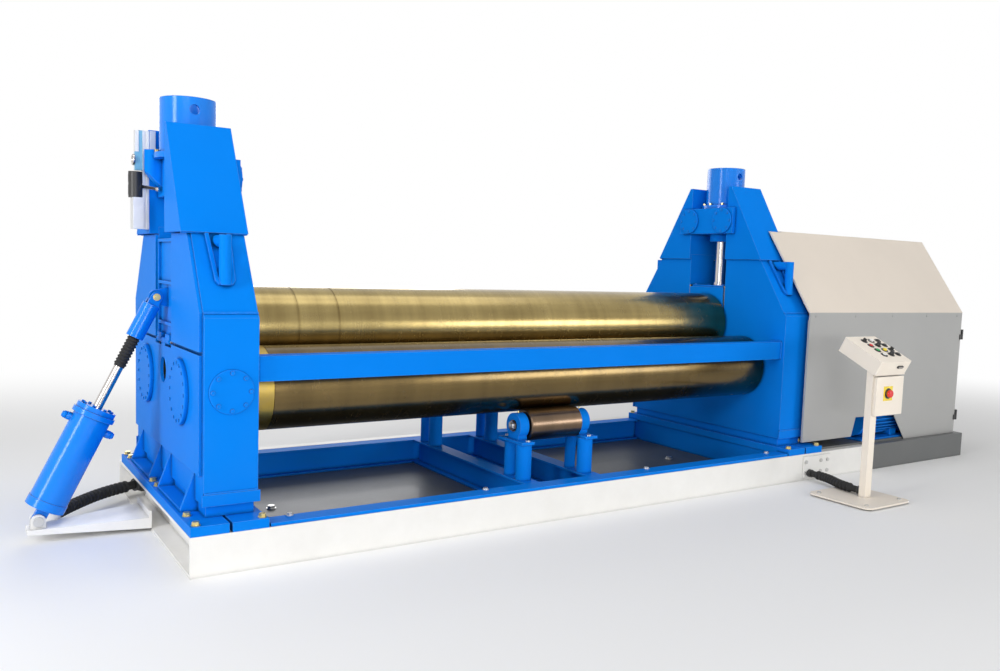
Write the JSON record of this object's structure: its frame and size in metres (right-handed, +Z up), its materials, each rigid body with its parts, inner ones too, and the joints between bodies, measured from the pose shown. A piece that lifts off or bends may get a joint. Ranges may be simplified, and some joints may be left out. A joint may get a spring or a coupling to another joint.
{
  "type": "plate rolling machine",
  "caption": "Blue plate rolling machine with bronze-toned rolls between A-shaped end frames, drop-end gate with tilt cylinder, drive housing and free-standing control pedestal.",
  "frame": {"origin": "on the floor, midway between the two end frames, under the axis of the top roll", "axes": "+X along the rolls towards the drive housing, +Y away from the operator, +Z up"},
  "size_m": [5.9523, 2.165, 1.955],
  "materials": {
    "blue_paint": "gloss enamel",
    "light_blue_paint": "gloss enamel",
    "white_paint": "satin enamel",
    "cream_paint": "fine texture powder coat",
    "grey_paint": "fine texture powder coat",
    "dark_paint": "satin enamel",
    "tray_paint": "satin enamel",
    "roll_steel": "ground, oiled",
    "bronze": "turned",
    "chrome": "polished",
    "bolt_steel": "bright",
    "yellow_zinc": "yellow passivated",
    "aluminium": "anodised",
    "black_rubber": "ribbed",
    "black_plastic": "satin",
    "red_plastic": "gloss",
    "green_plastic": "gloss",
    "white_plastic": "gloss",
    "yellow_plastic": "gloss"
  },
  "bodies": {
    "machine": {"base_frame": "white_paint", "outrigger": "white_paint", "drive_base": "dark_paint", "tray": "tray_paint", "sub_beams": "blue_paint", "foot_plates": "blue_paint", "zinc_bolts": "yellow_zinc", "steel_bolts": "bolt_steel", "frame_left": "blue_paint", "frame_right": "blue_paint", "frame_heads": "blue_paint", "yokes": "blue_paint", "lift_cylinders": "blue_paint", "round_covers": "blue_paint", "tie_beam": "blue_paint", "bush_liners": "bronze", "stands": "blue_paint", "sensor_rail": "aluminium", "sensor_bracket": "light_blue_paint", "black_fittings": "black_plastic", "gearboxes": "blue_paint", "pump_motor": "blue_paint", "housing_front": "grey_paint", "housing_top": "cream_paint", "hinge_leaves": "black_plastic", "pedestal": "cream_paint", "console": "cream_paint", "bezels": "black_plastic", "stop_box": "cream_paint", "stop_plate": "yellow_plastic", "tilt_hose": "black_rubber", "pedestal_hose": "black_rubber", "pivot_pins": "bolt_steel"},
    "top_lift": {"bearing_blocks": "blue_paint", "lift_rods": "chrome", "top_bushes": "bronze"},
    "top_roll": {"top_roll": "roll_steel"},
    "lower_front": {"lower_roll_front": "roll_steel", "collar_front": "bronze"},
    "lower_rear": {"lower_roll_rear": "roll_steel", "collar_rear": "bronze"},
    "support_front": {"support_roller_front": "roll_steel"},
    "support_rear": {"support_roller_rear": "roll_steel"},
    "gate": {"gate": "blue_paint"},
    "tilt_barrel": {"tilt_barrel": "blue_paint"},
    "tilt_rod": {"tilt_rod": "chrome", "rod_end": "blue_paint", "fork_bolts": "yellow_zinc", "rod_boot": "black_rubber"},
    "door": {"housing_door": "grey_paint", "door_hinges": "black_plastic"},
    "stop_button": {"stop_button": "red_plastic"},
    "selector_1": {"selector_1": "black_plastic"},
    "selector_2": {"selector_2": "black_plastic"},
    "button_1": {"button_1": "black_plastic"},
    "button_2": {"button_2": "red_plastic"},
    "button_3": {"button_3": "black_plastic"},
    "button_4": {"button_4": "green_plastic"},
    "button_5": {"button_5": "white_plastic"},
    "button_6": {"button_6": "black_plastic"}
  },
  "joints": [
    {"name": "top_lift", "type": "slide", "parent": "machine", "child": "top_lift", "axis": [0, 0, 1], "range_m": [-0.06, 0.12]},
    {"name": "top_spin", "type": "hinge", "parent": "top_lift", "child": "top_roll", "pos_m": [0, 0, 0.93], "axis": [1, 0, 0], "continuous": true},
    {"name": "front_spin", "type": "hinge", "parent": "machine", "child": "lower_front", "pos_m": [0, -0.34, 0.678], "axis": [1, 0, 0], "continuous": true},
    {"name": "rear_spin", "type": "hinge", "parent": "machine", "child": "lower_rear", "pos_m": [0, 0.34, 0.678], "axis": [1, 0, 0], "continuous": true},
    {"name": "support_front_spin", "type": "hinge", "parent": "machine", "child": "support_front", "pos_m": [0, -0.47, 0.436], "axis": [1, 0, 0], "continuous": true},
    {"name": "support_rear_spin", "type": "hinge", "parent": "machine", "child": "support_rear", "pos_m": [0, 0.47, 0.436], "axis": [1, 0, 0], "continuous": true},
    {"name": "gate_hinge", "type": "hinge", "parent": "machine", "child": "gate", "pos_m": [-1.85, 0, 0.868], "axis": [0, -1, 0], "range_deg": [0, 40]},
    {"name": "barrel_tilt", "type": "hinge", "parent": "machine", "child": "tilt_barrel", "pos_m": [-2.376, 0, 0.095], "axis": [0, -1, 0], "range_deg": [0, 5]},
    {"name": "rod_slide", "type": "slide", "parent": "tilt_barrel", "child": "tilt_rod", "axis": [0.4465, 0, 0.8948], "range_m": [-0.112, 0]},
    {"name": "door_hinge", "type": "hinge", "parent": "machine", "child": "door", "pos_m": [3.5, -0.718, 0.6], "axis": [0, 0, -1], "range_deg": [0, 110]},
    {"name": "stop_push", "type": "slide", "parent": "machine", "child": "stop_button", "axis": [0, 1, 0], "range_m": [0, 0.006], "stiffness_N_per_m": 500},
    {"name": "selector_1_turn", "type": "hinge", "parent": "machine", "child": "selector_1", "pos_m": [1.781, -1.09797, 0.89524], "axis": [0, -0.4446, 0.8957], "range_deg": [-45, 45]},
    {"name": "button_1_push", "type": "slide", "parent": "machine", "child": "button_1", "axis": [0, 0.4446, -0.8957], "range_m": [0, 0.004], "stiffness_N_per_m": 400},
    {"name": "button_2_push", "type": "slide", "parent": "machine", "child": "button_2", "axis": [0, 0.4446, -0.8957], "range_m": [0, 0.004], "stiffness_N_per_m": 400},
    {"name": "button_3_push", "type": "slide", "parent": "machine", "child": "button_3", "axis": [0, 0.4446, -0.8957], "range_m": [0, 0.004], "stiffness_N_per_m": 400},
    {"name": "button_4_push", "type": "slide", "parent": "machine", "child": "button_4", "axis": [0, 0.4446, -0.8957], "range_m": [0, 0.004], "stiffness_N_per_m": 400},
    {"name": "selector_2_turn", "type": "hinge", "parent": "machine", "child": "selector_2", "pos_m": [1.911, -1.18754, 0.85077], "axis": [0, -0.4446, 0.8957], "range_deg": [-45, 45]},
    {"name": "button_5_push", "type": "slide", "parent": "machine", "child": "button_5", "axis": [0, 0.4446, -0.8957], "range_m": [0, 0.004], "stiffness_N_per_m": 400},
    {"name": "button_6_push", "type": "slide", "parent": "machine", "child": "button_6", "axis": [0, 0.4446, -0.8957], "range_m": [0, 0.004], "stiffness_N_per_m": 400}
  ],
  "couplings": [
    {"joint": "rear_spin", "follows": "front_spin", "ratio": 1},
    {"joint": "barrel_tilt", "follows": "gate_hinge", "ratio": 0.1143},
    {"joint": "rod_slide", "follows": "gate_hinge", "m_per_rad": -0.15879}
  ]
}
